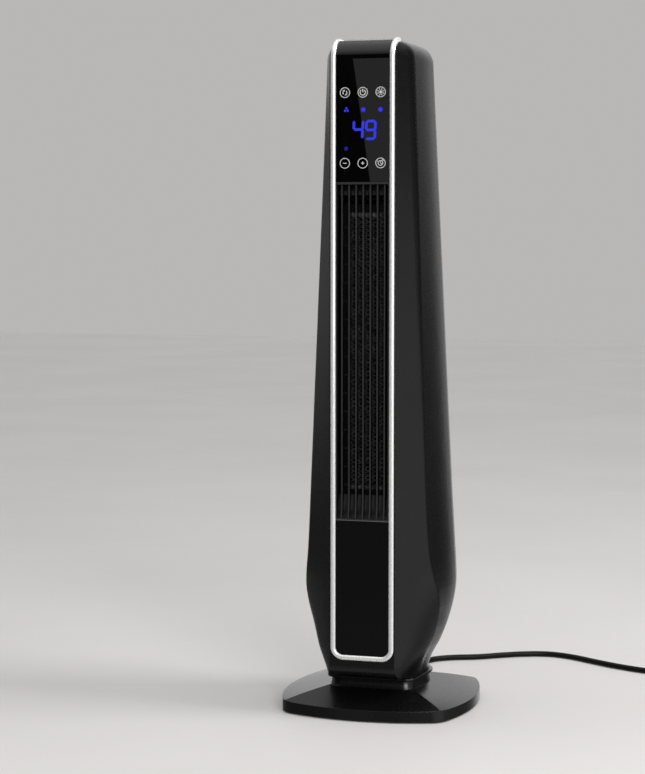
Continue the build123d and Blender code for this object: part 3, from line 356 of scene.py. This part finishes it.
class Artwork:
    """Flat shapes on the glass, drawn in millimetres across and up, and given a little thickness."""

    def __init__(self):
        self.mesh = bmesh.new()

    def polygon(self, points):
        front = [self.mesh.verts.new((x * MM, GLASS_FRONT - PRINT_DEPTH, z * MM)) for x, z in points]
        rear = [self.mesh.verts.new((x * MM, GLASS_FRONT, z * MM)) for x, z in points]
        self.mesh.faces.new(front)
        self.mesh.faces.new(list(reversed(rear)))
        for i in range(len(points)):
            j = (i + 1) % len(points)
            self.mesh.faces.new((front[i], rear[i], rear[j], front[j]))

    def arc(self, x, z, radius, width, start=0.0, end=360.0, steps=48):
        """A stroke along part of a circle, from start to end in degrees, anticlockwise from +X."""
        count = max(2, round(steps * (end - start) / 360))
        angles = [math.radians(start + (end - start) * i / count) for i in range(count + 1)]
        for a, b in zip(angles, angles[1:]):
            self.polygon([
                (x + r * math.cos(t), z + r * math.sin(t))
                for r, t in ((radius + width / 2, a), (radius + width / 2, b),
                             (radius - width / 2, b), (radius - width / 2, a))
            ])

    def dot(self, x, z, radius, steps=20):
        angles = [2 * math.pi * i / steps for i in range(steps)]
        self.polygon([(x + radius * math.cos(a), z + radius * math.sin(a)) for a in angles])

    def stroke(self, start, end, width, pointed=0.0):
        """A straight bar, with pointed ends for a display segment."""
        a, b = Vector(start), Vector(end)
        along = (b - a).normalized()
        side = Vector((-along.y, along.x)) * width / 2
        tip = along * pointed
        points = [a + side + tip, b + side - tip, b - side - tip, a - side + tip]
        if pointed:
            points = [a, a + side + tip, b + side - tip, b, b - side - tip, a - side + tip]
        self.polygon([tuple(p) for p in reversed(points)])

    def arrow(self, x, z, size, direction):
        """A solid arrowhead with its point towards direction, in degrees."""
        angles = [math.radians(direction + turn) for turn in (0, 130, 230)]
        self.polygon([(x + size * math.cos(a), z + size * math.sin(a)) for a in angles])

    def place(self, name, material, slot_name):
        bmesh.ops.recalc_face_normals(self.mesh, faces=self.mesh.faces)
        data = bpy.data.meshes.new(name)
        self.mesh.to_mesh(data)
        self.mesh.free()
        return piece(name, data, material, "tower", slot_name)


KEY_RADIUS, KEY_RING = 5.3, 0.75
KEY_X = (-20.0, 0.0, 20.0)
UPPER_Z, LOWER_Z = 685.0, 609.0

keys = Artwork()
for x in KEY_X:
    keys.arc(x, UPPER_Z, KEY_RADIUS, KEY_RING)
    keys.arc(x, LOWER_Z, KEY_RADIUS, KEY_RING)
# Swing: two curved arrows
for side in (-1, 1):
    turn = 90 + 90 * side
    keys.arc(KEY_X[0], UPPER_Z, 2.2, 1.0, turn - 60, turn + 50)
    keys.arrow(KEY_X[0] + side * -1.2, UPPER_Z + side * 2.2, 1.5, 180 if side > 0 else 0)
# Power: a broken ring and a bar
keys.arc(KEY_X[1], UPPER_Z, 3.0, 1.0, 125, 415)
keys.stroke((KEY_X[1], UPPER_Z + 0.2), (KEY_X[1], UPPER_Z + 3.7), 1.2)
# Heat: a disc with rays
keys.dot(KEY_X[2], UPPER_Z, 1.5)
for i in range(8):
    a = math.radians(45 * i + 22.5)
    ray = Vector((math.cos(a), math.sin(a)))
    hub = Vector((KEY_X[2], UPPER_Z))
    keys.stroke(hub + ray * 2.0, hub + ray * 4.1, 0.8)
# Less, more
keys.stroke((KEY_X[0] - 2.0, LOWER_Z), (KEY_X[0] + 2.0, LOWER_Z), 0.8)
keys.stroke((KEY_X[1] - 1.8, LOWER_Z), (KEY_X[1] + 1.8, LOWER_Z), 0.8)
keys.stroke((KEY_X[1], LOWER_Z + 0.4), (KEY_X[1], LOWER_Z + 1.8), 0.8)
keys.stroke((KEY_X[1], LOWER_Z - 1.8), (KEY_X[1], LOWER_Z - 0.4), 0.8)
# Timer: a clock with two bells
keys.arc(KEY_X[2], LOWER_Z, 2.6, 0.8)
keys.stroke((KEY_X[2], LOWER_Z - 0.3), (KEY_X[2], LOWER_Z + 1.8), 0.7)
keys.stroke((KEY_X[2], LOWER_Z - 0.3), (KEY_X[2] + 1.4, LOWER_Z - 0.9), 0.7)
for side in (-1, 1):
    keys.arc(KEY_X[2] + side * 2.4, LOWER_Z + 2.4, 1.0, 0.8, 90 - side * 90, 180 - side * 45)
keys.place("touch_key_print", PRINT, "bright_silver")

# Digits of seven segments: a top, b c right, d foot, e f left, g middle
DIGIT_SIZE = (10.0, 19.0)
DIGIT_SLANT = 0.05
SEGMENT_WIDTH, SEGMENT_POINT = 2.9, 1.2
LAMP_Z, LAMP_X = 666.3, (-18.3, 0.6, 19.8)
SEGMENTS = {
    "a": ((0, 2), (1, 2)), "b": ((1, 1), (1, 2)), "c": ((1, 0), (1, 1)), "d": ((0, 0), (1, 0)),
    "e": ((0, 0), (0, 1)), "f": ((0, 1), (0, 2)), "g": ((0, 1), (1, 1)),
}
digits = Artwork()
for origin, lit in (((-10.6, 635.6), "bcfg"), ((3.4, 635.0), "abcdfg")):
    for letter in lit:
        ends = []
        for u, v in SEGMENTS[letter]:
            x = origin[0] + DIGIT_SIZE[0] * u
            z = origin[1] + DIGIT_SIZE[1] * v / 2
            ends.append((x + DIGIT_SLANT * (z - origin[1]), z))
        digits.stroke(*ends, SEGMENT_WIDTH, pointed=SEGMENT_POINT)
# Lamps: three blades for the fan, then two scalloped discs
for turn in (90, 210, 330):
    a = math.radians(turn)
    digits.dot(LAMP_X[0] + 1.7 * math.cos(a), LAMP_Z + 1.7 * math.sin(a), 1.3)
for x in LAMP_X[1:]:
    digits.dot(x, LAMP_Z, 1.9)
    for i in range(8):
        a = math.radians(45 * i)
        digits.dot(x + 2.2 * math.cos(a), LAMP_Z + 2.2 * math.sin(a), 0.65, 10)
digits.place("display_figures", LIT, "display_blue")

timer_lamp = Artwork()
timer_lamp.dot(-18.6, 624.8, 2.2)
timer_lamp.place("timer_lamp", DIM, "display_blue")


# ---- Floor and light ----------------------------------------------------------------------------
FLOOR_HALF = 8.0
CARD_TILT = 7.5                # degrees
DARK_ROOM = 0.02               # light from the darkest direction
BACKDROP = (0.485, 0.475, 0.470)

bpy.context.scene.view_settings.view_transform = "Standard"


def mirror_free(material):
    """Hides the material's surface from mirror rays, so that gloss shows the studio instead."""
    tree = material.node_tree
    unseen = tree.nodes.new("ShaderNodeBsdfTransparent")
    choice = tree.nodes.new("ShaderNodeMixShader")
    path = tree.nodes.new("ShaderNodeLightPath")
    tree.links.new(path.outputs["Is Glossy Ray"], choice.inputs["Fac"])
    tree.links.new(tree.nodes["Principled BSDF"].outputs["BSDF"], choice.inputs[1])
    tree.links.new(unseen.outputs["BSDF"], choice.inputs[2])
    tree.links.new(choice.outputs["Shader"], tree.nodes["Material Output"].inputs["Surface"])


floor_mesh = bmesh.new()
bmesh.ops.create_grid(floor_mesh, x_segments=2, y_segments=2, size=FLOOR_HALF)
floor_data = bpy.data.meshes.new("floor")
floor_mesh.to_mesh(floor_data)
floor_mesh.free()
floor = bpy.data.objects.new("floor", floor_data)
bpy.context.collection.objects.link(floor)
paint = surface("floor_paint", (0.64, 0.62, 0.61), (0.67, 0.65, 0.64), (0.5, 0.6), grain=60.0,
                mottle=2.0, shine=0.05)
mirror_free(paint)
floor.data.materials.append(paint)


def softbox(name, place, aim, size, power):
    """A square lamp that the camera doesn't see."""
    light = bpy.data.lights.new(name, "AREA")
    light.shape = "SQUARE"
    light.size = size
    light.energy = power
    obj = bpy.data.objects.new(name, light)
    bpy.context.collection.objects.link(obj)
    obj.location = place
    obj.rotation_mode = "QUATERNION"
    obj.rotation_quaternion = (Vector(aim) - Vector(place)).to_track_quat("-Z", "Y")
    obj.visible_camera = False
    return obj


def towards(azimuth, elevation, distance, height=0.35):
    """A place seen from the heater's middle, with azimuth in degrees anticlockwise from +X."""
    a, e = math.radians(azimuth), math.radians(elevation)
    level = distance * math.cos(e)
    return (level * math.cos(a), level * math.sin(a), height + distance * math.sin(e))


softbox("key", towards(2, 42, 2.8), (0, 0, 0.3), 0.9, 34)
softbox("front_fill", towards(-58, 16, 2.8), (0, 0, 0.35), 1.3, 48)
# A dim card in front, which the touch glass mirrors. Its slanted left edge crosses the glass.
card = softbox("front_card", (-0.387, -2.5, 0.86), (-0.1, 0, 0.66), 0.56, 0.42)
card.rotation_quaternion = card.rotation_quaternion @ Quaternion((0, 0, 1), math.radians(CARD_TILT))

world = bpy.data.worlds.new("studio")
world.use_nodes = True
bpy.context.scene.world = world
sky = world.node_tree
sky_direction = sky.nodes.new("ShaderNodeTexCoord").outputs["Generated"]

# Soft patches of light round the heater, which its gloss mirrors: azimuth and elevation, the
# agreement with that direction at which the patch starts and is full, and its strength
PATCHES = [
    (-20, -4, 0.70, 0.98, 0.50),       # the right
    (29, -8, 0.94, 0.995, 0.10),       # behind on the right
    (97, 3, 0.83, 0.97, 1.00),         # behind
    (160, 22, 0.78, 0.99, 0.42),       # high on the left
    (250, -15, 0.96, 0.99, 0.09),      # low in front
    (0, 90, 0.40, 0.95, 1.10),         # overhead
    (0, -90, 0.05, 0.70, 0.36),        # underneath, in place of the floor that gloss doesn't mirror
]


def patch(azimuth, elevation, start, full, strength):
    """Light that grows with how nearly a direction agrees with the patch's own."""
    agree = sky.nodes.new("ShaderNodeVectorMath")
    agree.operation = "DOT_PRODUCT"
    agree.inputs[1].default_value = towards(azimuth, elevation, 1, 0)
    sky.links.new(sky_direction, agree.inputs[0])
    shade = sky.nodes.new("ShaderNodeMapRange")
    shade.interpolation_type = "SMOOTHSTEP"
    shade.inputs["From Min"].default_value, shade.inputs["From Max"].default_value = start, full
    shade.inputs["To Min"].default_value, shade.inputs["To Max"].default_value = 0.0, strength
    sky.links.new(agree.outputs["Value"], shade.inputs["Value"])
    return shade.outputs["Result"]


room = sky.nodes["Background"]
room.inputs["Color"].default_value = (1, 1, 1, 1)
brightness = None
for numbers in PATCHES:
    total = sky.nodes.new("ShaderNodeMath")
    total.operation = "ADD"
    total.inputs[0].default_value = DARK_ROOM
    if brightness:
        sky.links.new(brightness, total.inputs[0])
    sky.links.new(patch(*numbers), total.inputs[1])
    brightness = total.outputs["Value"]
sky.links.new(brightness, room.inputs["Strength"])
backdrop = sky.nodes.new("ShaderNodeBackground")
backdrop.inputs["Color"].default_value = (*BACKDROP, 1)
ray = sky.nodes.new("ShaderNodeLightPath")
view_or_room = sky.nodes.new("ShaderNodeMixShader")
sky.links.new(ray.outputs["Is Camera Ray"], view_or_room.inputs["Fac"])
sky.links.new(room.outputs["Background"], view_or_room.inputs[1])
sky.links.new(backdrop.outputs["Background"], view_or_room.inputs[2])
sky.links.new(view_or_room.outputs["Shader"], sky.nodes["World Output"].inputs["Surface"])
